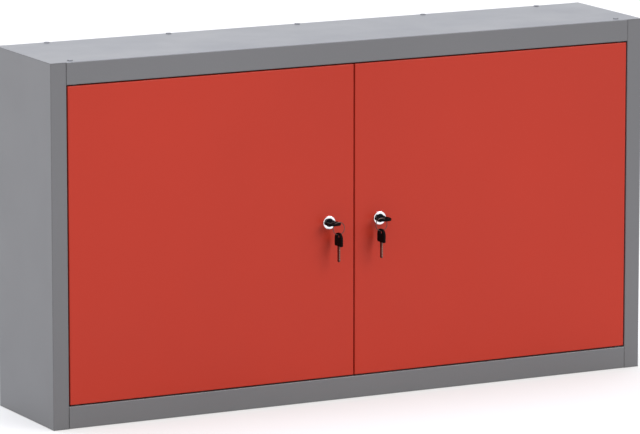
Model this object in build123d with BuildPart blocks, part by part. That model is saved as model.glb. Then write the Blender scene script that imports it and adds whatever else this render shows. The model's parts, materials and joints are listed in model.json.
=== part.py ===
from build123d import *
import math
import os

# Two-door steel tool cabinet with a perforated tool panel, a centre post and
# a cylinder lock in each door. Millimetres, +Z up, the doors face -Y, and the
# origin is at the centre of the base's underside. Everything that exists left
# and right is made on the left (-X) and mirrored.

# ---------------------------------------------------------------- body sizes
cabinet_width = 1095.0
cabinet_height = 600.0
cabinet_depth = 215.0
sheet = 1.0                   # steel sheet of the body and the doors
bend_radius = 1.5             # outside radius of the folds
seam_gap = 0.2                # between the edges of two sheets side by side
stile_width = 28.0            # front flange of a side panel
stile_lip_overhang = 2.0      # fold behind the stile, beyond the closed door
rail_height = 37.0            # front flange of the top and bottom panels
rear_flange_width = 15.0      # folds that the back panel lies against
weld_flange_width = 14.0      # folds of a side panel under the top panel
weld_flange_relief = 4.0      # notch at both ends of a weld flange
top_edge_rounding = 0.6       # side edges of the top and bottom sheets
back_flange_width = 20.0      # folds of the back panel

# ---------------------------------------------------------------- rivets
rivet_head_radius = 4.8
rivet_head_height = 1.5
rivet_radius = 2.4
rivet_bulb_radius = 3.4
rivet_bulb_length = 3.0
rivet_fit = 0.05
rear_rivet_inset = 8.0        # from the cabinet's rear edge
rear_rivet_outer = 87.5       # outer rear rivet from the cabinet's side
rear_rivet_inner = 308.5      # next rear rivet from the cabinet's side
front_rivet_inset = 16.0      # from the cabinet's front

# ---------------------------------------------------------------- doors
door_depth = 20.0
door_gap = 2.0                # between a door and the frame round it
centre_gap = 2.0              # between the two doors
door_lip_width = 20.0         # inner lip at the back of a door
door_edge_rounding = 1.0      # welded corners of the folded edges
stiffener_crown_width = 30.0
stiffener_brim_width = 14.0
stiffener_back_gap = 1.0      # to the plane of the door's inner lips
stiffener_end_gap = 6.0

# ---------------------------------------------------------------- door pivots
hinge_inset = 12.0            # pivot axis from the door's outer edge
hinge_depth = 7.0             # pivot axis behind the door's face
pin_radius = 2.5
pin_head_radius = 4.2
pin_head_height = 2.5
pin_tip_length = 1.0          # beyond the bush
pin_hole_clearance = 0.4
thread_fit = 0.05
running_fit = 0.05
thrust_gap = 0.3              # between a door and the flange of its bush
bush_wall = 1.1
bush_tail = 0.5               # beyond the hinge bracket
pivot_plate_thickness = 4.0
bracket_sheet = 1.5
bracket_gap = 0.3             # from the bracket to the end of the rail

# ---------------------------------------------------------------- centre post
post_sheet = 1.2
post_half_width = 29.0
post_crown_half_width = 12.0
post_depth = 22.0             # brim face to crown face
post_tab_length = 7.3         # end tabs behind the brims
bumper_radius = 4.0
bumper_height = 3.2
bumper_stem_radius = 1.75
bumper_bulb_radius = 2.4
bumper_fit = 0.05
bumper_gap = 0.3              # between a bumper and the closed door
bumper_spread = 200.0         # above and below the locks
bumper_edge = 0.5             # from a bumper to the edge of the door's lip

# ---------------------------------------------------------------- tool panel
tool_panel_sheet = 1.5
tool_panel_edge_gap = 11.5    # to the side walls and to the top and bottom
tool_panel_corner = 6.0
hole_pitch = 38.0
hole_size = 10.0
hole_margin = 20.0            # unperforated edge
spacer_length = 17.0
spacer_radius = 6.0
panel_screw_radius = 2.5
panel_screw_head_radius = 4.75
panel_screw_head_height = 2.6
panel_screw_length = 12.0
wall_hole_radius = 4.5
access_hole_radius = 11.0     # in the tool panel, in front of a wall hole

# ---------------------------------------------------------------- locks
lock_inset = 46.0             # lock axis from the door's free edge
rosette_radius = 11.2
rosette_height = 2.5
rosette_rounding = 1.2
rosette_chamfer = 0.5
barrel_radius = 8.75
barrel_flat = 7.8             # axis to each flat
barrel_fit = 0.2
cam_gap = 0.8                 # between the post's brim and the turned cam
nut_across_flats = 23.0
nut_height = 4.0
plug_radius = 6.6
plug_recess = 0.4             # plug face behind the rosette's face
plug_web = 0.7                # between the keyway and the hole of the cam screw
cam_thickness = 2.0
cam_half_width = 8.0
cam_tip_gap = 1.5             # between the turned cam and the post's crown
boss_half_width = 3.5
boss_fit = 0.05
boss_recess = 0.2
cam_screw_radius = 2.0
cam_screw_head_radius = 4.0
cam_screw_head_height = 2.5
cam_screw_length = 4.0

# ---------------------------------------------------------------- keys
blade_width = 7.0
blade_thickness = 2.0
blade_tip_chamfer = 1.8
bitting_count = 5
bitting_pitch = 3.8
bitting_radius = 1.3
bitting_depth = 0.7
tang_length = 10.0
tang_width = 9.0
keyway_clearance = 0.3
keyway_end_gap = 0.5
bow_standoff = 2.0            # bow in front of the rosette
bow_length = 22.5
bow_width = 24.0
bow_thickness = 4.0
bow_tip_radius = 10.0
bow_shoulder_radius = 2.5
bow_edge_rounding = 0.9
bow_hole_radius = 3.6
bow_hole_inset = 6.0          # hole centre from the bow's end
bow_hole_chamfer = 0.8
ring_radius = 10.4            # centre line of the key ring
ring_wire_radius = 0.6
hang_gap = 0.3                # between the ring and the spare key that hangs on it

# ---------------------------------------------------------------- worked out
front = -cabinet_depth / 2
back = cabinet_depth / 2
half_width = cabinet_width / 2
mid_height = cabinet_height / 2
stile_edge = half_width - stile_width
stile_lip_depth = door_depth + stile_lip_overhang
post_setback = door_depth + bumper_height + bumper_gap
rail_lip_depth = post_setback + post_sheet + post_tab_length
rail_end = stile_edge - seam_gap
opening_top = cabinet_height - rail_height
opening_bottom = rail_height
rear_flange_end = half_width - rear_flange_width - seam_gap
mid_plane = Plane.XY.offset(mid_height)

door_outer_edge = -(stile_edge - door_gap)
door_free_edge = -centre_gap / 2
door_top = opening_top - door_gap
door_bottom = opening_bottom + door_gap
door_width = door_free_edge - door_outer_edge
door_height = door_top - door_bottom
door_middle = (door_outer_edge + door_free_edge) / 2
pivot_x = door_outer_edge + hinge_inset
pivot_y = front + hinge_depth
bracket_half_width = rail_end + pivot_x - bracket_gap
bush_radius = pin_radius + running_fit + bush_wall
bush_flange_radius = hinge_depth - bend_radius
bush_flange_height = door_gap - thrust_gap
bush_top = opening_top + sheet + bracket_sheet + bush_tail

post_face = front + post_setback
bumper_x = centre_gap / 2 + door_lip_width - bumper_edge - bumper_radius
barrel_length = post_setback + post_sheet + cam_gap
lock_x = door_free_edge - lock_inset
lock_z = mid_height
lock_face = Plane(origin=(lock_x, front, lock_z), x_dir=(1, 0, 0), z_dir=(0, -1, 0))
cam_reach = -lock_x - post_crown_half_width - cam_tip_gap
shoulder_out = rosette_height + bow_standoff
screw_seat = barrel_length + cam_thickness
screw_hole_length = cam_screw_length + keyway_clearance
keyway_depth = screw_seat - screw_hole_length - plug_web
blade_length = keyway_depth - keyway_end_gap + shoulder_out
bow_hole_out = bow_length - bow_hole_inset
ring_out = shoulder_out + bow_hole_out
ring_offset = ring_radius / math.sqrt(2)
ring_x = lock_x + ring_offset
ring_y = front - ring_out
ring_z = lock_z - ring_offset
spare_hole_z = ring_z - ring_radius + ring_wire_radius + hang_gap - bow_hole_radius

tool_panel_back = back - 2 * sheet - spacer_length
tool_panel_face = tool_panel_back - tool_panel_sheet
tool_panel_half_width = half_width - sheet - tool_panel_edge_gap
tool_panel_half_height = mid_height - sheet - tool_panel_edge_gap
last_column = math.floor((tool_panel_half_width - hole_margin) / hole_pitch)
last_row = math.floor((tool_panel_half_height - hole_margin) / hole_pitch)
hole_columns = 2 * last_column + 1
hole_rows = 2 * last_row + 1
wall_hole_x = (last_column - 1) * hole_pitch
wall_hole_z = (last_row - 1) * hole_pitch
spacer_outer_x = (last_column - 0.5) * hole_pitch
spacer_inner_x = (last_column // 3 + 0.5) * hole_pitch
spacer_z = (last_row - 0.5) * hole_pitch

rear_rivet_y = back - rear_rivet_inset
front_rivet_y = front + front_rivet_inset

os.makedirs("parts", exist_ok=True)


def save(name, piece):
    """Label a finished piece and write it to its own file."""
    piece.part.label = name
    export_step(piece.part, f"parts/{name}.step")


def save_both_sides(name, piece):
    """Write a left-hand piece and its mirrored right-hand partner."""
    save(f"left_{name}", piece)
    with BuildPart() as partner:
        mirror(piece.part, about=Plane.YZ)
    save(f"right_{name}", partner)


def folded_section(plane, outline, thickness, radius, side):
    """Cross-section of a folded sheet, with one face along the outline."""
    with BuildSketch(plane) as section:
        with BuildLine():
            FilletPolyline(*outline, radius=radius)
            offset(amount=thickness, side=side)
        make_face()
    return section.sketch


def block(corner, opposite, mode=Mode.ADD):
    """Box between two opposite corners."""
    size = [abs(high - low) for low, high in zip(corner, opposite)]
    centre = [(low + high) / 2 for low, high in zip(corner, opposite)]
    with Locations(tuple(centre)):
        Box(*size, mode=mode)


# ---------------------------------------------------------------- side panels
side_outline = [
    (-stile_edge, front + stile_lip_depth),
    (-stile_edge, front),
    (-half_width, front),
    (-half_width, back),
    (-half_width + rear_flange_width, back),
]
side_section = folded_section(Plane.XY.offset(sheet), side_outline, sheet, bend_radius, Side.RIGHT)
weld_flange_front = front + sheet + weld_flange_relief
weld_flange_back = back - 2 * sheet - weld_flange_relief

with BuildPart() as side_panel:
    extrude(side_section, amount=cabinet_height - 2 * sheet)
    for level in (sheet, cabinet_height - 2 * sheet):
        block(
            (-half_width + sheet / 2, weld_flange_front, level),
            (-half_width + sheet + weld_flange_width, weld_flange_back, level + sheet),
        )
save_both_sides("side_panel", side_panel)

# ---------------------------------------------------------------- top and bottom panels
rail_outline = [
    (front + rail_lip_depth, opening_top),
    (front, opening_top),
    (front, cabinet_height),
    (0, cabinet_height),
]
rear_fold_outline = [
    (0, cabinet_height),
    (back, cabinet_height),
    (back, cabinet_height - rear_flange_width),
]
outer_rivet_x = half_width - rear_rivet_outer
inner_rivet_x = half_width - rear_rivet_inner
rear_rivet_columns = (-outer_rivet_x, -inner_rivet_x, 0, inner_rivet_x, outer_rivet_x)
rear_rivet_places = [(x, rear_rivet_y, cabinet_height) for x in rear_rivet_columns]
front_rivet_places = [(x, front_rivet_y, cabinet_height) for x in (-pivot_x, pivot_x)]


def end_panel():
    """Top panel: sheet with the rail and its lip in front and a fold behind."""
    with BuildPart() as panel:
        rail_fold = folded_section(Plane.YZ, rail_outline, sheet, bend_radius, Side.RIGHT)
        extrude(rail_fold, amount=rail_end, both=True)
        rear_fold = folded_section(Plane.YZ, rear_fold_outline, sheet, bend_radius, Side.RIGHT)
        extrude(rear_fold, amount=rear_flange_end, both=True)
        for direction in (-1, 1):
            block(
                (direction * rail_end, front, cabinet_height - sheet),
                (direction * half_width, 0, cabinet_height),
            )
            block(
                (direction * rear_flange_end, 0, cabinet_height - sheet),
                (direction * half_width, back, cabinet_height),
            )
        upper_edges = panel.edges().filter_by(Axis.Y).group_by(Axis.Z)[-1].sort_by(Axis.X)
        fillet([upper_edges[0], upper_edges[-1]], radius=top_edge_rounding)
        for direction in (-1, 1):
            with Locations((direction * pivot_x, pivot_y, opening_top + sheet)):
                Hole(radius=bush_radius + running_fit, depth=2 * sheet)
    return panel


with BuildPart() as top_panel:
    add(end_panel().part)
    with Locations(*rear_rivet_places, *front_rivet_places):
        Hole(radius=rivet_radius + rivet_fit, depth=2 * sheet)
save("top_panel", top_panel)

with BuildPart() as bottom_panel:
    mirror(end_panel().part, about=mid_plane)
save("bottom_panel", bottom_panel)

# ---------------------------------------------------------------- back panel
back_face = back - sheet
back_outline = [
    (back_face - back_flange_width, cabinet_height - sheet),
    (back_face, cabinet_height - sheet),
    (back_face, sheet),
    (back_face - back_flange_width, sheet),
]
back_flange_end = half_width - sheet - weld_flange_width - seam_gap
wall_hole_places = [
    (sign_x * wall_hole_x, back_face, mid_height + sign_z * wall_hole_z)
    for sign_x in (-1, 1)
    for sign_z in (-1, 1)
]

with BuildPart() as back_panel:
    back_section = folded_section(Plane.YZ, back_outline, sheet, bend_radius, Side.RIGHT)
    extrude(back_section, amount=back_flange_end, both=True)
    for direction in (-1, 1):
        block(
            (direction * back_flange_end, back_face - sheet, sheet),
            (direction * (half_width - bend_radius), back_face, cabinet_height - sheet),
        )
    with Locations(*rear_rivet_places):
        Hole(radius=rivet_radius + rivet_fit, depth=3 * sheet)
    with BuildSketch(Plane.XZ.offset(-back_face)):
        with Locations(*[(x, z) for x, y, z in wall_hole_places]):
            Circle(wall_hole_radius)
    extrude(amount=sheet, mode=Mode.SUBTRACT)
save("back_panel", back_panel)


# ---------------------------------------------------------------- rivets
def rivet(grip):
    """Blind rivet with its head's underside at the origin and its tail down."""
    with BuildPart() as piece:
        Cylinder(rivet_head_radius, rivet_head_height, align=(Align.CENTER, Align.CENTER, Align.MIN))
        fillet(piece.edges().group_by(Axis.Z)[-1], radius=0.8 * rivet_head_height)
        Cylinder(rivet_radius, grip, align=(Align.CENTER, Align.CENTER, Align.MAX))
        with Locations((0, 0, -grip)):
            Cylinder(rivet_bulb_radius, rivet_bulb_length, align=(Align.CENTER, Align.CENTER, Align.MAX))
        fillet(piece.edges().group_by(Axis.Z)[0], radius=rivet_bulb_radius / 3)
    return piece.part


rear_rivet = rivet(2 * sheet)
front_rivet = rivet(sheet + bracket_sheet)

with BuildPart() as top_rivets:
    with Locations(*rear_rivet_places):
        add(rear_rivet)
    with Locations(*front_rivet_places):
        add(front_rivet)
save("top_rivets", top_rivets)

# ---------------------------------------------------------------- hinge brackets
bracket_front = front + bend_radius + seam_gap
bracket_back = front + rail_lip_depth
bracket_outline = [
    (bracket_front, cabinet_height - sheet),
    (bracket_back, cabinet_height - sheet),
    (bracket_back, opening_top + sheet),
    (bracket_front, opening_top + sheet),
]
bracket_section = folded_section(
    Plane.YZ.offset(pivot_x), bracket_outline, bracket_sheet, 2 * bracket_sheet, Side.RIGHT
)

with BuildPart() as top_bracket:
    extrude(bracket_section, amount=bracket_half_width, both=True)
    with Locations((pivot_x, pivot_y, opening_top + sheet + bracket_sheet)):
        Hole(radius=bush_radius + running_fit, depth=2 * bracket_sheet)
    with Locations((pivot_x, front_rivet_y, cabinet_height - sheet)):
        Hole(radius=rivet_radius + rivet_fit, depth=2 * bracket_sheet)
save_both_sides("top_hinge_bracket", top_bracket)

with BuildPart() as bottom_bracket:
    bottom_section = mirror(bracket_section, about=mid_plane, mode=Mode.PRIVATE)
    extrude(bottom_section, amount=bracket_half_width, both=True)
    with Locations((pivot_x, pivot_y, opening_bottom)):
        Hole(radius=bush_radius + running_fit, depth=sheet + 2 * bracket_sheet)
save_both_sides("bottom_hinge_bracket", bottom_bracket)

# ---------------------------------------------------------------- pivot bushes
with BuildPart() as top_bush:
    with BuildSketch(Plane.XY.offset(opening_top)):
        with Locations((pivot_x, pivot_y)):
            Circle(bush_flange_radius)
    extrude(amount=-bush_flange_height)
    with BuildSketch(Plane.XY.offset(opening_top)):
        with Locations((pivot_x, pivot_y)):
            Circle(bush_radius)
    extrude(amount=bush_top - opening_top)
    with Locations((pivot_x, pivot_y, bush_top)):
        Hole(radius=pin_radius + running_fit)
save_both_sides("top_pivot_bush", top_bush)

with BuildPart() as bottom_bush:
    mirror(top_bush.part, about=mid_plane)
save_both_sides("bottom_pivot_bush", bottom_bush)

# ---------------------------------------------------------------- centre post
post_inside = post_crown_half_width - post_sheet
post_back = post_face + post_depth - post_sheet
post_outline = [
    (-post_half_width, post_face),
    (-post_inside, post_face),
    (-post_inside, post_back),
    (post_inside, post_back),
    (post_inside, post_face),
    (post_half_width, post_face),
]
bumper_places = [
    (sign_x * bumper_x, mid_height + sign_z * bumper_spread) for sign_x in (-1, 1) for sign_z in (-1, 1)
]

with BuildPart() as centre_post:
    extrude(
        folded_section(Plane.XY.offset(opening_bottom), post_outline, post_sheet, bend_radius, Side.LEFT),
        amount=opening_top - opening_bottom,
    )
    for direction in (-1, 1):
        for level in (opening_bottom, opening_top - post_sheet):
            block(
                (direction * (post_crown_half_width + bend_radius), post_face + post_sheet / 2, level),
                (direction * post_half_width, front + rail_lip_depth, level + post_sheet),
            )
    with BuildSketch(Plane.XZ.offset(-post_face)):
        with Locations(*bumper_places):
            Circle(bumper_stem_radius + bumper_fit)
    extrude(amount=-post_sheet, mode=Mode.SUBTRACT)
save("centre_post", centre_post)


# ---------------------------------------------------------------- door bumpers
def bumper():
    """Push-in rubber buffer, its seat at the origin and its face along +Z."""
    with BuildPart() as piece:
        Cylinder(bumper_radius, bumper_height, align=(Align.CENTER, Align.CENTER, Align.MIN))
        fillet(piece.edges().group_by(Axis.Z)[-1], radius=bumper_height / 3)
        Cylinder(bumper_stem_radius, post_sheet, align=(Align.CENTER, Align.CENTER, Align.MAX))
        with Locations((0, 0, -post_sheet)):
            Cone(
                bumper_bulb_radius / 2,
                bumper_bulb_radius,
                bumper_bulb_radius,
                align=(Align.CENTER, Align.CENTER, Align.MAX),
            )
    return piece.part


buffer = bumper()
with BuildPart() as door_bumpers:
    for x, z in bumper_places:
        with Locations(Plane(origin=(x, post_face, z), x_dir=(1, 0, 0), z_dir=(0, -1, 0)).location):
            add(buffer)
save("door_bumpers", door_bumpers)

# ---------------------------------------------------------------- tool panel
spacer_places = [
    (sign_x * column, mid_height + sign_z * spacer_z)
    for sign_x in (-1, 1)
    for column in (spacer_inner_x, spacer_outer_x)
    for sign_z in (-1, 1)
]

# The perforated sheet is one face whose holes are its inner outlines.
square_hole = Rectangle(hole_size, hole_size).wire()
access_hole = Circle(access_hole_radius).wire()
screw_hole = Circle(panel_screw_radius + thread_fit).wire()
access_places = [(x, z - mid_height) for x, y, z in wall_hole_places]
hole_outlines = [Pos(x, z) * access_hole for x, z in access_places]
hole_outlines += [Pos(x, z - mid_height) * screw_hole for x, z in spacer_places]
for place in GridLocations(hole_pitch, hole_pitch, hole_columns, hole_rows):
    hole_centre = (place.position.X, place.position.Y)
    nearest_access_hole = min(math.dist(hole_centre, access) for access in access_places)
    if nearest_access_hole > hole_pitch / 2:
        hole_outlines.append(place * square_hole)
flat_sheet = RectangleRounded(
    2 * tool_panel_half_width, 2 * tool_panel_half_height, tool_panel_corner
).wire()
tool_panel_plane = Plane(origin=(0, tool_panel_face, mid_height), x_dir=(1, 0, 0), z_dir=(0, -1, 0))

with BuildPart() as tool_panel:
    extrude(tool_panel_plane * Face(flat_sheet, hole_outlines), amount=-tool_panel_sheet, clean=False)
save("tool_panel", tool_panel)

with BuildPart() as tool_panel_spacers:
    with BuildSketch(Plane.XZ.offset(-tool_panel_back)):
        with Locations(*spacer_places):
            Circle(spacer_radius)
            Circle(panel_screw_radius + thread_fit, mode=Mode.SUBTRACT)
    extrude(amount=-spacer_length)
save("tool_panel_spacers", tool_panel_spacers)

with BuildPart() as tool_panel_screws:
    with BuildSketch(Plane.XZ.offset(-tool_panel_face)):
        with Locations(*spacer_places):
            Circle(panel_screw_head_radius)
    extrude(amount=panel_screw_head_height)
    fillet(
        tool_panel_screws.edges().group_by(Axis.Y)[0],
        radius=panel_screw_head_height / 2,
    )
    with BuildSketch(Plane.XZ.offset(-tool_panel_face)):
        with Locations(*spacer_places):
            Circle(panel_screw_radius)
    extrude(amount=-panel_screw_length)
    with BuildSketch(Plane.XZ.offset(panel_screw_head_height - tool_panel_face)):
        with Locations(*spacer_places):
            RegularPolygon(radius=panel_screw_head_radius / 2, side_count=6)
    extrude(amount=-panel_screw_head_height / 2, mode=Mode.SUBTRACT)
save("tool_panel_screws", tool_panel_screws)

# ---------------------------------------------------------------- door panels
door_centre = (door_middle, mid_height)
door_back = front + door_depth


def barrel_outline(extra):
    """Round lock barrel with two flats, grown by the given clearance."""
    Circle(barrel_radius + extra)
    Rectangle(2 * (barrel_radius + extra), 2 * (barrel_flat + extra), mode=Mode.INTERSECT)


with BuildPart() as door_panel:
    with BuildSketch(Plane.XZ.offset(-front)):
        with Locations(door_centre):
            RectangleRounded(door_width, door_height, door_edge_rounding)
    extrude(amount=-door_depth)
    fillet(door_panel.edges().group_by(Axis.Y)[0], radius=bend_radius)
    with BuildSketch(Plane.XZ.offset(-front - sheet)):
        with Locations(door_centre):
            Rectangle(door_width - 2 * sheet, door_height - 2 * sheet)
    extrude(amount=-(door_depth - 2 * sheet), mode=Mode.SUBTRACT)
    inner_front_edges = door_panel.edges().filter_by_position(Axis.Y, front + sheet, front + sheet)
    fillet(inner_front_edges, radius=bend_radius - sheet)
    with BuildSketch(Plane.XZ.offset(-door_back)):
        with Locations(door_centre):
            RectangleRounded(door_width - 2 * door_lip_width, door_height - 2 * door_lip_width, bend_radius)
    extrude(amount=sheet, mode=Mode.SUBTRACT)
    with BuildSketch(lock_face):
        barrel_outline(barrel_fit)
    extrude(amount=-sheet, mode=Mode.SUBTRACT)
    for level in (door_top, door_bottom + sheet):
        with Locations((pivot_x, pivot_y, level)):
            Hole(radius=pin_radius + pin_hole_clearance, depth=sheet)
save_both_sides("door_panel", door_panel)

stiffener_start = front + sheet
stiffener_back = front + door_depth - 2 * sheet - stiffener_back_gap
stiffener_half_crown = stiffener_crown_width / 2
stiffener_half_width = stiffener_half_crown + stiffener_brim_width
stiffener_outline = [
    (door_middle - stiffener_half_width, stiffener_start),
    (door_middle - stiffener_half_crown, stiffener_start),
    (door_middle - stiffener_half_crown, stiffener_back),
    (door_middle + stiffener_half_crown, stiffener_back),
    (door_middle + stiffener_half_crown, stiffener_start),
    (door_middle + stiffener_half_width, stiffener_start),
]
stiffener_bottom = door_bottom + sheet + stiffener_end_gap
stiffener_top = door_top - sheet - stiffener_end_gap

with BuildPart() as door_stiffener:
    extrude(
        folded_section(Plane.XY.offset(stiffener_bottom), stiffener_outline, sheet, bend_radius, Side.LEFT),
        amount=stiffener_top - stiffener_bottom,
    )
save_both_sides("door_stiffener", door_stiffener)

# ---------------------------------------------------------------- door pivots
plate_half_width = hinge_inset - bend_radius
plate_half_depth = hinge_depth - bend_radius
plate_top = door_top - sheet
pin_head_top = plate_top - pivot_plate_thickness
pin_tip = bush_top + pin_tip_length

with BuildPart() as pivot_plates:
    with BuildSketch(Plane.XY.offset(plate_top)):
        with Locations((pivot_x, pivot_y)):
            RectangleRounded(2 * plate_half_width, 2 * plate_half_depth, bend_radius / 2)
            Circle(pin_radius + thread_fit, mode=Mode.SUBTRACT)
    extrude(amount=-pivot_plate_thickness)
    mirror(about=mid_plane)
save_both_sides("pivot_plates", pivot_plates)

with BuildPart() as top_pivot_screw:
    with BuildSketch(Plane.XY.offset(pin_head_top)):
        with Locations((pivot_x, pivot_y)):
            RegularPolygon(radius=pin_head_radius, side_count=6)
    extrude(amount=-pin_head_height)
    with BuildSketch(Plane.XY.offset(pin_head_top)):
        with Locations((pivot_x, pivot_y)):
            Circle(pin_radius)
    extrude(amount=pin_tip - pin_head_top)
    chamfer(top_pivot_screw.edges().group_by(Axis.Z)[-1], length=pin_tip_length / 2)
save_both_sides("top_pivot_screw", top_pivot_screw)

with BuildPart() as bottom_pivot_pin:
    with BuildSketch(Plane.XY.offset(cabinet_height - pin_head_top)):
        with Locations((pivot_x, pivot_y)):
            Circle(pin_head_radius)
    extrude(amount=pin_head_height)
    fillet(bottom_pivot_pin.edges().group_by(Axis.Z)[-1], radius=pin_head_height / 3)
    with BuildSketch(Plane.XY.offset(cabinet_height - pin_head_top)):
        with Locations((pivot_x, pivot_y)):
            Circle(pin_radius)
    extrude(amount=-(pin_tip - pin_head_top))
    chamfer(bottom_pivot_pin.edges().group_by(Axis.Z)[0], length=pin_tip_length / 2)
save_both_sides("bottom_pivot_pin", bottom_pivot_pin)

# ---------------------------------------------------------------- lock housing and nut
plug_face = rosette_height - plug_recess

with BuildPart() as lock_housing:
    with BuildSketch(lock_face):
        Circle(rosette_radius)
    extrude(amount=rosette_height)
    fillet(lock_housing.edges().group_by(Axis.Y)[0], radius=rosette_rounding)
    with BuildSketch(lock_face):
        barrel_outline(0)
    extrude(amount=-barrel_length)
    with BuildSketch(lock_face.offset(rosette_height)):
        Circle(plug_radius + running_fit)
    extrude(amount=-rosette_height - barrel_length, mode=Mode.SUBTRACT)
    front_circles = lock_housing.edges().filter_by(GeomType.CIRCLE).group_by(Axis.Y)[0]
    bore_mouth = front_circles.sort_by(SortBy.RADIUS)[0]
    chamfer(bore_mouth, length=rosette_chamfer)
save_both_sides("lock_housing", lock_housing)

with BuildPart() as lock_nut:
    with BuildSketch(lock_face.offset(-sheet)):
        RegularPolygon(radius=nut_across_flats / 2, side_count=6, major_radius=False)
        Circle(barrel_radius + thread_fit, mode=Mode.SUBTRACT)
    extrude(amount=-nut_height)
save_both_sides("lock_nut", lock_nut)

# ---------------------------------------------------------------- plug, cam and cam screw
boss_length = cam_thickness - boss_recess

with BuildPart() as lock_plug:
    with BuildSketch(lock_face.offset(plug_face)):
        Circle(plug_radius)
    extrude(amount=-plug_face - barrel_length)
    chamfer(lock_plug.edges().group_by(Axis.Y)[0], length=plug_recess / 2)
    with BuildSketch(lock_face.offset(-barrel_length)):
        Rectangle(2 * boss_half_width, 2 * boss_half_width)
    extrude(amount=-boss_length)
    with BuildSketch(lock_face.offset(plug_face)):
        Rectangle(blade_width + 2 * keyway_clearance, blade_thickness + 2 * keyway_clearance)
    extrude(amount=-plug_face - keyway_depth, mode=Mode.SUBTRACT)
    with BuildSketch(lock_face.offset(-screw_seat)):
        Circle(cam_screw_radius + thread_fit)
    extrude(amount=screw_hole_length, mode=Mode.SUBTRACT)
save_both_sides("lock_plug", lock_plug)

with BuildPart() as lock_cam:
    with BuildSketch(lock_face.offset(-barrel_length)):
        with BuildLine():
            FilletPolyline(
                (-cam_half_width, -cam_half_width),
                (-cam_half_width, cam_reach),
                (cam_half_width, cam_reach),
                (cam_half_width, -cam_half_width),
                radius=cam_half_width / 4,
                close=True,
            )
        make_face()
        Rectangle(
            2 * (boss_half_width + boss_fit),
            2 * (boss_half_width + boss_fit),
            mode=Mode.SUBTRACT,
        )
    extrude(amount=-cam_thickness)
save_both_sides("lock_cam", lock_cam)

with BuildPart() as cam_screw:
    with BuildSketch(lock_face.offset(-screw_seat)):
        Circle(cam_screw_head_radius)
    extrude(amount=-cam_screw_head_height)
    fillet(cam_screw.edges().group_by(Axis.Y)[-1], radius=cam_screw_head_height / 3)
    with BuildSketch(lock_face.offset(-screw_seat)):
        Circle(cam_screw_radius)
    extrude(amount=cam_screw_length)
save_both_sides("cam_screw", cam_screw)


# ---------------------------------------------------------------- keys
def blade_outline():
    """Flat steel blade with its cuts and the tang inside the bow."""
    with Locations((-blade_length / 2, 0)):
        Rectangle(blade_length, blade_width)
    tip_corners = vertices().group_by(Axis.X)[0]
    chamfer(tip_corners, length=blade_tip_chamfer)
    cut_centre = blade_width / 2 - bitting_depth + bitting_radius
    with Locations((-blade_length / 2, 0)):
        with GridLocations(bitting_pitch, 2 * cut_centre, bitting_count, 2):
            Circle(bitting_radius, mode=Mode.SUBTRACT)
    with Locations((tang_length / 2, 0)):
        Rectangle(tang_length, tang_width)


def key_blade(shoulder):
    """Blade of a key whose shoulder plane has its X axis towards the bow."""
    with BuildPart() as blade:
        with BuildSketch(shoulder.offset(-blade_thickness / 2)):
            blade_outline()
        extrude(amount=blade_thickness)
    return blade


def key_bow(shoulder):
    """Plastic bow moulded round the tang of the blade."""
    with BuildPart() as bow:
        with BuildSketch(shoulder.offset(-bow_thickness / 2)) as outline:
            with Locations((bow_length / 2, 0)):
                Rectangle(bow_length, bow_width)
            fillet(outline.vertices().group_by(Axis.X)[-1], radius=bow_tip_radius)
            fillet(outline.vertices().group_by(Axis.X)[0], radius=bow_shoulder_radius)
        extrude(amount=bow_thickness)
        faces_of_bow = bow.faces().filter_by(shoulder)
        fillet(faces_of_bow.edges(), radius=bow_edge_rounding)
        with BuildSketch(shoulder.offset(-bow_thickness / 2)):
            with Locations((bow_hole_out, 0)):
                Circle(bow_hole_radius)
        extrude(amount=bow_thickness, mode=Mode.SUBTRACT)
        circles = bow.edges().filter_by(GeomType.CIRCLE)
        hole_mouths = circles.filter_by(lambda e: e.radius == bow_hole_radius)
        chamfer(hole_mouths, length=bow_hole_chamfer)
        with BuildSketch(shoulder.offset(-blade_thickness / 2)):
            with Locations((tang_length / 2, 0)):
                Rectangle(tang_length, tang_width)
        extrude(amount=blade_thickness, mode=Mode.SUBTRACT)
    return bow


key_shoulder = Plane(
    origin=(lock_x, front - shoulder_out, lock_z),
    x_dir=(0, -1, 0),
    z_dir=(0, 0, 1),
)
spare_shoulder = Plane(
    origin=(ring_x, ring_y, spare_hole_z - bow_hole_out),
    x_dir=(0, 0, 1),
    z_dir=(1, 0, 0),
)
save_both_sides("key_blade", key_blade(key_shoulder))
save_both_sides("key_bow", key_bow(key_shoulder))
save_both_sides("spare_key_blade", key_blade(spare_shoulder))
save_both_sides("spare_key_bow", key_bow(spare_shoulder))

with BuildPart() as key_ring:
    with Locations(Plane(origin=(ring_x, ring_y, ring_z), x_dir=(1, 0, 0), z_dir=(0, -1, 0)).location):
        Torus(ring_radius, ring_wire_radius)
save_both_sides("key_ring", key_ring)
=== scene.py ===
import json
import math

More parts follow.
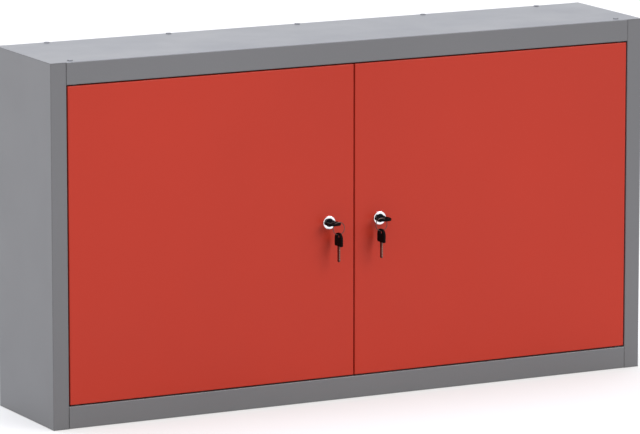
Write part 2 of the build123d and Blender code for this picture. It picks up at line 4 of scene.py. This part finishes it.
import bmesh
import bpy
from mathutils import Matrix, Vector


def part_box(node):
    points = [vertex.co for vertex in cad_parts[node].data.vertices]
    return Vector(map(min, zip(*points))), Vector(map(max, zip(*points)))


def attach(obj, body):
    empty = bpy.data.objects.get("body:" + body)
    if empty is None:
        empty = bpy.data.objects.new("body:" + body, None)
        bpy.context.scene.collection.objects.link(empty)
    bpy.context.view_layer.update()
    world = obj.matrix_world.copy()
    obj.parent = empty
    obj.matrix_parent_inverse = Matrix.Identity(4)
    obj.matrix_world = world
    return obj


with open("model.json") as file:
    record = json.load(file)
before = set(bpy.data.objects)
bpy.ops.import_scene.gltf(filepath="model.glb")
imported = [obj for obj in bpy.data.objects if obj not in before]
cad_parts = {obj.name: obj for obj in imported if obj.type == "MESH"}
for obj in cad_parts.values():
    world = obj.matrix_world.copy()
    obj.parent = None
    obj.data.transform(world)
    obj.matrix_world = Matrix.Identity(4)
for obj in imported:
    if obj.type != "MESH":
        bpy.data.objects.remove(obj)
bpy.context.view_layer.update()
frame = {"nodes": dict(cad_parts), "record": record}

# Two-door steel tool cabinet. Metres, +Z up, the doors face -Y. The photographed
# view is from the left and slightly above, with a long lens. Colours are linear.

# ---------------------------------------------------------------- camera values
SENSOR_WIDTH = 36.0              # millimetres, and so is the lens
CAMERA_LENS = 298.94
CAMERA_AZIMUTH = -27.24          # degrees round +Z from the front, negative to the left
CAMERA_ELEVATION = 10.445        # degrees
CAMERA_DISTANCE = 8.8705
CLIP_START = 0.1
CLIP_END = 100.0
AIM_RIGHT = -0.00744             # from the body's middle, in the picture's plane
AIM_UP = -0.01217
BODY_MIDDLE = Vector((0.0, 0.0, 0.3))

# ---------------------------------------------------------------- light values
WHITE = (1.0, 1.0, 1.0)
LAMPS = (
    # name, towards the lamp, strength, width in degrees, colour
    ("key_light", (0.45, -0.71, 0.54), 1.33, 32.0, WHITE),
    ("side_light", (-0.98, 0.12, 0.15), 0.78, 40.0, WHITE),
    ("top_light", (0.0, 0.2, 0.98), 3.3, 50.0, (0.70, 0.78, 1.0)),
)
WORLD_ON_OBJECT = 0.52           # strength of the world as light on the object
WORLD_SEEN = 1.0                 # and where it is seen directly or in gloss

# ---------------------------------------------------------------- floor values
FLOOR_REACH = 30.0               # half its width
FLOOR_LEVEL = -0.0005
FLOOR_COLOUR = (0.46, 0.44, 0.41)
FLOOR_CLOUD = 1.5                # noise scale
FLOOR_SHADE = 0.99
FLOOR_GLOW = 0.46                # added where the camera or gloss sees the floor

# ---------------------------------------------------------------- colours
GREY_PAINT = (0.172, 0.171, 0.177)
LIGHT_GREY_PAINT = (0.52, 0.53, 0.53)
RED_PAINT = (0.550, 0.038, 0.0168)
ZINC = ((0.62, 0.64, 0.66), (0.48, 0.50, 0.53))          # metals: light, dark
CHROME = ((0.90, 0.90, 0.92), (0.84, 0.84, 0.86))
KEY_NICKEL = ((0.19, 0.115, 0.095), (0.12, 0.075, 0.062))
SPRING_WIRE = ((0.13, 0.10, 0.09), (0.08, 0.06, 0.055))
BLACK_NYLON = (0.016, 0.016, 0.017)
BLACK_RUBBER = (0.018, 0.018, 0.019)
BLACK_PLUG = (0.004, 0.005, 0.008)
BLACK_PLASTIC = (0.004, 0.003, 0.003)

# ---------------------------------------------------------------- surface values
# A noise scale is in features per metre. A shade is a factor on the colour, and an
# amount is how much of a shade or a bump shows, from 0 to 1.
NOISE_SPAN = (0.3, 0.7)          # most of a noise's values lie in it
EDGE_SAMPLES = 6

PAINT_CLOUD = 2.6
PAINT_CLOUD_SHADES = (0.965, 1.035)
PAINT_SPECK = 700.0
PAINT_SPECK_SPAN = (0.35, 0.65)
PAINT_SPECK_SHADE = 0.95
PAINT_SPECK_AMOUNT = 0.25
PAINT_EDGE_RADIUS = 0.0025
PAINT_EDGE_SHARPNESS = 0.08
PAINT_RUB = 60.0
PAINT_RUB_SPAN = (0.42, 0.62)
PAINT_RUB_AND_SHADE_LEAST = 0.4            # share of the edge darkening that every edge has, as painted shade of the rounded bends; the rest varies as rubbed wear
# Edge darkening is partly rubbed wear to the primer and partly painted shade of the
# rounded bends.
PAINT_WEAR_AND_PAINTED_SHADE = 0.45
PAINT_WEAR_AND_PAINTED_SHADE_AMOUNT = 0.45
PAINT_HANDLING = 9.0
PAINT_HANDLING_SMOOTHER = 0.04   # off the roughness
PAINT_HANDLING_ROUGHER = 0.05    # on the roughness
PAINT_PEEL = 420.0
PAINT_PEEL_HEIGHT = 0.00005
PAINT_PEEL_AMOUNT = 0.2

METAL_CLOUD = 50.0
METAL_GRAIN = 300.0
METAL_GRAIN_HEIGHT = 0.00002
METAL_GRAIN_AMOUNT = 0.5
METAL_ROUGHNESS_SPAN = (0.75, 1.35)      # factors
METAL_EDGE_RADIUS = 0.0004
METAL_EDGE_SHARPNESS = 0.12
METAL_EDGE_SHADE = 1.1
METAL_EDGE_AMOUNT = 0.4

PLASTIC_CLOUD = 90.0
PLASTIC_CLOUD_SHADES = (0.85, 1.15)
PLASTIC_GRAIN = 900.0
RUBBER_GRAIN = 600.0
PLASTIC_GRAIN_HEIGHT = 0.00004
PLASTIC_GRAIN_AMOUNT = 0.5
PLASTIC_SMOOTHER = 0.06          # off the roughness
PLASTIC_ROUGHER = 0.08           # on the roughness
PLASTIC_EDGE_RADIUS = 0.0006
PLASTIC_EDGE_SHARPNESS = 0.12
PLASTIC_EDGE_SHADE = 1.6
PLASTIC_EDGE_AMOUNT = 0.5

# ---------------------------------------------------------------- small details
THREAD_PITCH = 0.001
THREAD_ROOT = 0.0087             # inside the barrel, which has a radius of 0.00875
THREAD_CREST = 0.00905
THREAD_CORE = 0.0082
THREAD_HALF_ARC = math.radians(59.0)
THREAD_STEPS = 24
SHEET = 0.001
BRIM_MIDDLE = 0.0065             # from the stiffener's edge
WELD_COUNT = 6
WELD_END = 0.035                 # first and last weld from the stiffener's ends
WELD_STEPS = 20
WELD_PROFILE = (
    # radius, height above the sheet
    (0.0021, 0.00006),
    (0.0024, 0.00030),
    (0.0028, 0.00036),
    (0.0032, 0.00030),
    (0.0036, -0.00003),
)


# ---------------------------------------------------------------- node trees
class Tree:
    """A material's node tree, with short calls for the nodes used here."""

    def __init__(self, name):
        self.material = bpy.data.materials.new(name)
        self.material.use_nodes = True
        self.nodes = self.material.node_tree.nodes
        self.links = self.material.node_tree.links
        self.shader = self.nodes["Principled BSDF"]
        coordinates = self.nodes.new("ShaderNodeTexCoord")
        self.object_coordinates = coordinates.outputs["Object"]

    def link(self, source, target):
        self.links.new(source, target)

    def set(self, **values):
        """Plain values on the shader's sockets, with underscores for spaces."""
        for name, value in values.items():
            socket = self.shader.inputs[name.replace("_", " ")]
            socket.default_value = (*value, 1.0) if isinstance(value, tuple) else value

    def noise(self, scale, detail, roughness=0.5):
        """Noise from 0 to 1 in object coordinates."""
        node = self.nodes.new("ShaderNodeTexNoise")
        node.inputs["Scale"].default_value = scale
        node.inputs["Detail"].default_value = detail
        node.inputs["Roughness"].default_value = roughness
        self.link(self.object_coordinates, node.inputs["Vector"])
        return node.outputs["Fac"]

    def spread(self, value, span, low=0.0, high=1.0):
        """Value mapped from a span to the range from low to high, and held in it."""
        node = self.nodes.new("ShaderNodeMapRange")
        self.link(value, node.inputs["Value"])
        sockets = ("From Min", "From Max", "To Min", "To Max")
        for name, number in zip(sockets, (*span, low, high)):
            node.inputs[name].default_value = number
        return node.outputs["Result"]

    def times(self, first, second):
        """Product of two values, either of which may be a number."""
        node = self.nodes.new("ShaderNodeMath")
        node.operation = "MULTIPLY"
        for socket, value in zip(node.inputs, (first, second)):
            if isinstance(value, float):
                socket.default_value = value
            else:
                self.link(value, socket)
        return node.outputs["Value"]

    def blend(self, factor, first, second):
        """Colour between two colours, each a tuple or a socket."""
        node = self.nodes.new("ShaderNodeMix")
        node.data_type = "RGBA"
        self.link(factor, node.inputs["Factor"])
        for name, value in (("A", first), ("B", second)):
            socket = [s for s in node.inputs if s.name == name and s.type == "RGBA"][0]
            if isinstance(value, tuple):
                socket.default_value = (*value, 1.0)
            else:
                self.link(value, socket)
        return [s for s in node.outputs if s.type == "RGBA"][0]

    def edges(self, radius, sharpness):
        """Mask that is 1 along corners tighter than the radius, and rounded normal."""
        bevel = self.nodes.new("ShaderNodeBevel")
        bevel.samples = EDGE_SAMPLES
        bevel.inputs["Radius"].default_value = radius
        geometry = self.nodes.new("ShaderNodeNewGeometry")
        dot = self.nodes.new("ShaderNodeVectorMath")
        dot.operation = "DOT_PRODUCT"
        self.link(bevel.outputs["Normal"], dot.inputs[0])
        self.link(geometry.outputs["Normal"], dot.inputs[1])
        mask = self.spread(dot.outputs["Value"], (1.0, 1.0 - sharpness))
        return mask, bevel.outputs["Normal"]

    def bump(self, height, distance, strength, normal=None):
        """Normal bumped by a height between 0 and 1, with the distance in metres."""
        node = self.nodes.new("ShaderNodeBump")
        node.inputs["Strength"].default_value = strength
        node.inputs["Distance"].default_value = distance
        self.link(height, node.inputs["Height"])
        if normal is not None:
            self.link(normal, node.inputs["Normal"])
        return node.outputs["Normal"]

    def finish(self, colour, roughness=None, normal=None):
        """Link the inputs that vary over the surface and return the material."""
        varying = {"Base Color": colour, "Roughness": roughness, "Normal": normal}
        for name, socket in varying.items():
            if socket is not None:
                self.link(socket, self.shader.inputs[name])
        return self.material


def scaled(colour, factor):
    return tuple(channel * factor for channel in colour)


def seen_directly(nodes, links):
    """1 for camera, glossy and transmission rays, 0 for the light on the object."""
    path = nodes.new("ShaderNodeLightPath")
    total = path.outputs["Is Camera Ray"]
    for name in ("Is Glossy Ray", "Is Transmission Ray"):
        node = nodes.new("ShaderNodeMath")
        node.operation = "MAXIMUM"
        links.new(total, node.inputs[0])
        links.new(path.outputs[name], node.inputs[1])
        total = node.outputs["Value"]
    return total


# ---------------------------------------------------------------- materials
def powder_coat(name, colour, roughness, specular):
    """Powder paint: mottling, fine specks, orange peel, and darker edges that are
    partly rubbed wear and partly painted shade of the rounded bends.
    """
    tree = Tree(name)
    cloud = tree.spread(tree.noise(PAINT_CLOUD, detail=3.0), NOISE_SPAN)
    darker, lighter = (scaled(colour, shade) for shade in PAINT_CLOUD_SHADES)
    mottled = tree.blend(cloud, darker, lighter)
    speck = tree.spread(tree.noise(PAINT_SPECK, detail=3.0), PAINT_SPECK_SPAN)
    speck = tree.times(speck, PAINT_SPECK_AMOUNT)
    speckled = tree.blend(speck, mottled, scaled(colour, PAINT_SPECK_SHADE))
    # Darker edges: painted shade where the rounded bends turn from the light, made
    # patchy by rubbed wear.
    edge, _ = tree.edges(PAINT_EDGE_RADIUS, PAINT_EDGE_SHARPNESS)
    rub_and_shade = tree.noise(PAINT_RUB, detail=4.0)
    rub_and_shade = tree.spread(rub_and_shade, PAINT_RUB_SPAN, PAINT_RUB_AND_SHADE_LEAST)
    worn_and_shaded = tree.times(tree.times(edge, rub_and_shade), PAINT_WEAR_AND_PAINTED_SHADE_AMOUNT)
    finished = tree.blend(worn_and_shaded, speckled, scaled(colour, PAINT_WEAR_AND_PAINTED_SHADE))
    handled = tree.spread(
        tree.noise(PAINT_HANDLING, detail=4.0),
        NOISE_SPAN,
        roughness - PAINT_HANDLING_SMOOTHER,
        roughness + PAINT_HANDLING_ROUGHER,
    )
    peel = tree.noise(PAINT_PEEL, detail=2.0, roughness=0.4)
    normal = tree.bump(peel, PAINT_PEEL_HEIGHT, PAINT_PEEL_AMOUNT)
    tree.set(Specular_IOR_Level=specular)
    return tree.finish(finished, handled, normal)


def plated_metal(name, shades, roughness):
    """Plated metal: faint clouding, fine grain, a little dulling, brighter edges."""
    light, dark = shades
    tree = Tree(name)
    cloud = tree.spread(tree.noise(METAL_CLOUD, detail=3.0), NOISE_SPAN)
    colour = tree.blend(cloud, dark, light)
    edge, rounded = tree.edges(METAL_EDGE_RADIUS, METAL_EDGE_SHARPNESS)
    edge = tree.times(edge, METAL_EDGE_AMOUNT)
    colour = tree.blend(edge, colour, scaled(light, METAL_EDGE_SHADE))
    grain = tree.noise(METAL_GRAIN, detail=3.0)
    smoother, rougher = (roughness * factor for factor in METAL_ROUGHNESS_SPAN)
    dull = tree.spread(grain, NOISE_SPAN, smoother, rougher)
    normal = tree.bump(grain, METAL_GRAIN_HEIGHT, METAL_GRAIN_AMOUNT, rounded)
    tree.set(Metallic=1.0)
    return tree.finish(colour, dull, normal)


def moulded_plastic(name, colour, roughness, specular, grain=PLASTIC_GRAIN):
    """Moulded plastic or rubber: spark-eroded grain and lighter rubbed corners."""
    tree = Tree(name)
    cloud = tree.spread(tree.noise(PLASTIC_CLOUD, detail=3.0), NOISE_SPAN)
    darker, lighter = (scaled(colour, shade) for shade in PLASTIC_CLOUD_SHADES)
    mottled = tree.blend(cloud, darker, lighter)
    edge, rounded = tree.edges(PLASTIC_EDGE_RADIUS, PLASTIC_EDGE_SHARPNESS)
    edge = tree.times(edge, PLASTIC_EDGE_AMOUNT)
    finished = tree.blend(edge, mottled, scaled(colour, PLASTIC_EDGE_SHADE))
    pits = tree.noise(grain, detail=3.0)
    dull = tree.spread(
        pits, NOISE_SPAN, roughness - PLASTIC_SMOOTHER, roughness + PLASTIC_ROUGHER
    )
    normal = tree.bump(pits, PLASTIC_GRAIN_HEIGHT, PLASTIC_GRAIN_AMOUNT, rounded)
    tree.set(Specular_IOR_Level=specular)
    return tree.finish(finished, dull, normal)


def make_materials():
    """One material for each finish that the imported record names."""
    return {
        "grey_paint": powder_coat(
            "grey_powder_coat", GREY_PAINT, roughness=0.33, specular=0.6
        ),
        "light_grey_paint": powder_coat(
            "light_grey_powder_coat", LIGHT_GREY_PAINT, roughness=0.42, specular=0.5
        ),
        "red_paint": powder_coat(
            "red_powder_coat", RED_PAINT, roughness=0.38, specular=0.3
        ),
        "zinc_steel": plated_metal("zinc_plated_steel", ZINC, roughness=0.38),
        "black_nylon": moulded_plastic(
            "black_nylon", BLACK_NYLON, roughness=0.5, specular=0.5
        ),
        "black_rubber": moulded_plastic(
            "black_rubber",
            BLACK_RUBBER,
            roughness=0.7,
            specular=0.5,
            grain=RUBBER_GRAIN,
        ),
        "chrome": plated_metal("chrome_plate", CHROME, roughness=0.08),
        "black_plug": moulded_plastic(
            "blackened_plug", BLACK_PLUG, roughness=0.5, specular=0.10
        ),
        "key_steel": plated_metal("nickel_plated_key", KEY_NICKEL, roughness=0.38),
        "ring_steel": plated_metal("dulled_spring_wire", SPRING_WIRE, roughness=0.38),
        "black_plastic": moulded_plastic(
            "black_plastic", BLACK_PLASTIC, roughness=0.65, specular=0.05
        ),
    }


def dress_nodes(materials):
    """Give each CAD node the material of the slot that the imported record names."""
    for row in frame["record"]["subparts"]:
        for slot in frame["nodes"][row["node"]].material_slots:
            slot.material = materials[row["material_slot"]]


# ---------------------------------------------------------------- small details
def circle_point(middle_x, middle_z, radius, angle, along):
    """Point at an angle and a radius round an axis that runs along Y."""
    return (
        middle_x + radius * math.cos(angle),
        along,
        middle_z + radius * math.sin(angle),
    )


def add_piece(name, solids, body, slot, materials):
    """Mesh of closed solids, lofted through loops of points, that moves with a body."""
    shape = bmesh.new()
    for loops in solids:
        rows = [[shape.verts.new(point) for point in loop] for loop in loops]
        shape.faces.new(rows[0])
        shape.faces.new(rows[-1])
        for row, following in zip(rows, rows[1:]):
            for index in range(len(row)):
                shape.faces.new((
                    row[index - 1], row[index], following[index], following[index - 1]
                ))
    bmesh.ops.recalc_face_normals(shape, faces=shape.faces)
    mesh = bpy.data.meshes.new(name)
    shape.to_mesh(mesh)
    shape.free()
    mesh.materials.append(materials[slot])
    piece = bpy.data.objects.new(name, mesh)
    bpy.context.scene.collection.objects.link(piece)
    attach(piece, body)


def barrel_thread(side, materials):
    """Thread on the two round sides of a lock barrel, from its nut to the cam."""
    nut_low, nut_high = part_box(f"{side}_lock_nut")
    cam_low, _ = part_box(f"{side}_lock_cam")
    middle_x = (nut_low[0] + nut_high[0]) / 2
    middle_z = (nut_low[2] + nut_high[2]) / 2
    start = nut_high[1] + THREAD_PITCH
    turns = int((cam_low[1] - start) / THREAD_PITCH) - 1
    steps = range(THREAD_STEPS + 1)
    angles = [THREAD_HALF_ARC * (2 * step / THREAD_STEPS - 1) for step in steps]
    solids = []
    for half_turn in (0.0, math.pi):
        loops = []
        for row in range(2 * turns + 1):
            height = THREAD_CREST if row % 2 else THREAD_ROOT
            radii = [THREAD_ROOT, *[height] * (THREAD_STEPS - 1), THREAD_ROOT]
            outline = list(zip(radii, angles))
            outline += [(THREAD_CORE, angle) for angle in reversed(angles)]
            loop = []
            for radius, angle in outline:
                turned = angle + half_turn
                along = start + THREAD_PITCH * (row / 2 + turned / (2 * math.pi))
                loop.append(circle_point(middle_x, middle_z, radius, turned, along))
            loops.append(loop)
        solids.append(loops)
    add_piece(f"{side}_barrel_thread", solids, f"{side}_door", "chrome", materials)


def weld_marks(side, materials):
    """Spot welds that hold the brims of a door's stiffener to the door's sheet."""
    low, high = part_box(f"{side}_door_stiffener")
    surface = low[1] + SHEET
    spacing = (high[2] - low[2] - 2 * WELD_END) / (WELD_COUNT - 1)
    turns = [2 * math.pi * step / WELD_STEPS for step in range(WELD_STEPS)]
    solids = []
    for middle_x in (low[0] + BRIM_MIDDLE, high[0] - BRIM_MIDDLE):
        for count in range(WELD_COUNT):
            middle_z = low[2] + WELD_END + spacing * count
            loops = []
            for radius, height in WELD_PROFILE:
                along = surface + height
                loops.append([
                    circle_point(middle_x, middle_z, radius, turn, along)
                    for turn in turns
                ])
            solids.append(loops)
    add_piece(f"{side}_stiffener_welds", solids, f"{side}_door", "red_paint", materials)


# ---------------------------------------------------------------- stage
def make_floor():
    """Large pale floor that keeps the cabinet's shadow."""
    square = ((-1, -1), (1, -1), (1, 1), (-1, 1))
    corners = [(x * FLOOR_REACH, y * FLOOR_REACH, FLOOR_LEVEL) for x, y in square]
    mesh = bpy.data.meshes.new("floor")
    mesh.from_pydata(corners, [], [(0, 1, 2, 3)])
    floor = bpy.data.objects.new("floor", mesh)
    bpy.context.scene.collection.objects.link(floor)
    tree = Tree("pale_floor")
    cloud = tree.noise(FLOOR_CLOUD, detail=2.0)
    tone = tree.blend(cloud, scaled(FLOOR_COLOUR, FLOOR_SHADE), FLOOR_COLOUR)
    tree.set(Roughness=0.9, Specular_IOR_Level=0.0, Emission_Color=WHITE)
    glow = tree.times(seen_directly(tree.nodes, tree.links), FLOOR_GLOW)
    tree.link(glow, tree.shader.inputs["Emission Strength"])
    mesh.materials.append(tree.finish(tone))


def make_world():
    """Soft even light, and plain white where it is seen directly or in gloss."""
    world = bpy.data.worlds.new("studio")
    bpy.context.scene.world = world
    world.use_nodes = True
    nodes = world.node_tree.nodes
    links = world.node_tree.links
    background = nodes["Background"]
    background.inputs["Color"].default_value = (*WHITE, 1.0)
    strength = nodes.new("ShaderNodeMapRange")
    strength.inputs["To Min"].default_value = WORLD_ON_OBJECT
    strength.inputs["To Max"].default_value = WORLD_SEEN
    links.new(seen_directly(nodes, links), strength.inputs["Value"])
    links.new(strength.outputs["Result"], background.inputs["Strength"])


def add_facing(name, data, backwards):
    """Lamp or camera whose back points along a direction."""
    thing = bpy.data.objects.new(name, data)
    thing.rotation_mode = "QUATERNION"
    thing.rotation_quaternion = (-backwards).to_track_quat("-Z", "Y")
    bpy.context.scene.collection.objects.link(thing)
    return thing


def make_lamps():
    """Three wide, distant lamps: right in front and above, left, and overhead."""
    for name, towards, strength, width, colour in LAMPS:
        data = bpy.data.lights.new(name, "SUN")
        data.energy = strength
        data.angle = math.radians(width)
        data.color = colour
        add_facing(name, data, Vector(towards))


def make_camera():
    """Camera at the photograph's viewing angle."""
    azimuth = math.radians(CAMERA_AZIMUTH)
    elevation = math.radians(CAMERA_ELEVATION)
    backwards = Vector((
        math.sin(azimuth) * math.cos(elevation),
        -math.cos(azimuth) * math.cos(elevation),
        math.sin(elevation),
    ))
    right = Vector((math.cos(azimuth), math.sin(azimuth), 0.0))
    up = backwards.cross(right)
    data = bpy.data.cameras.new("camera")
    data.sensor_width = SENSOR_WIDTH
    data.lens = CAMERA_LENS
    data.clip_start = CLIP_START
    data.clip_end = CLIP_END
    camera = add_facing("camera", data, backwards)
    aim = BODY_MIDDLE + right * AIM_RIGHT + up * AIM_UP
    camera.location = aim + backwards * CAMERA_DISTANCE
    bpy.context.scene.camera = camera


# ---------------------------------------------------------------- build
make_camera()
make_world()
make_lamps()
make_floor()
materials = make_materials()
dress_nodes(materials)
for side in ("left", "right"):
    barrel_thread(side, materials)
    weld_marks(side, materials)
bpy.context.scene.view_settings.view_transform = "Standard"
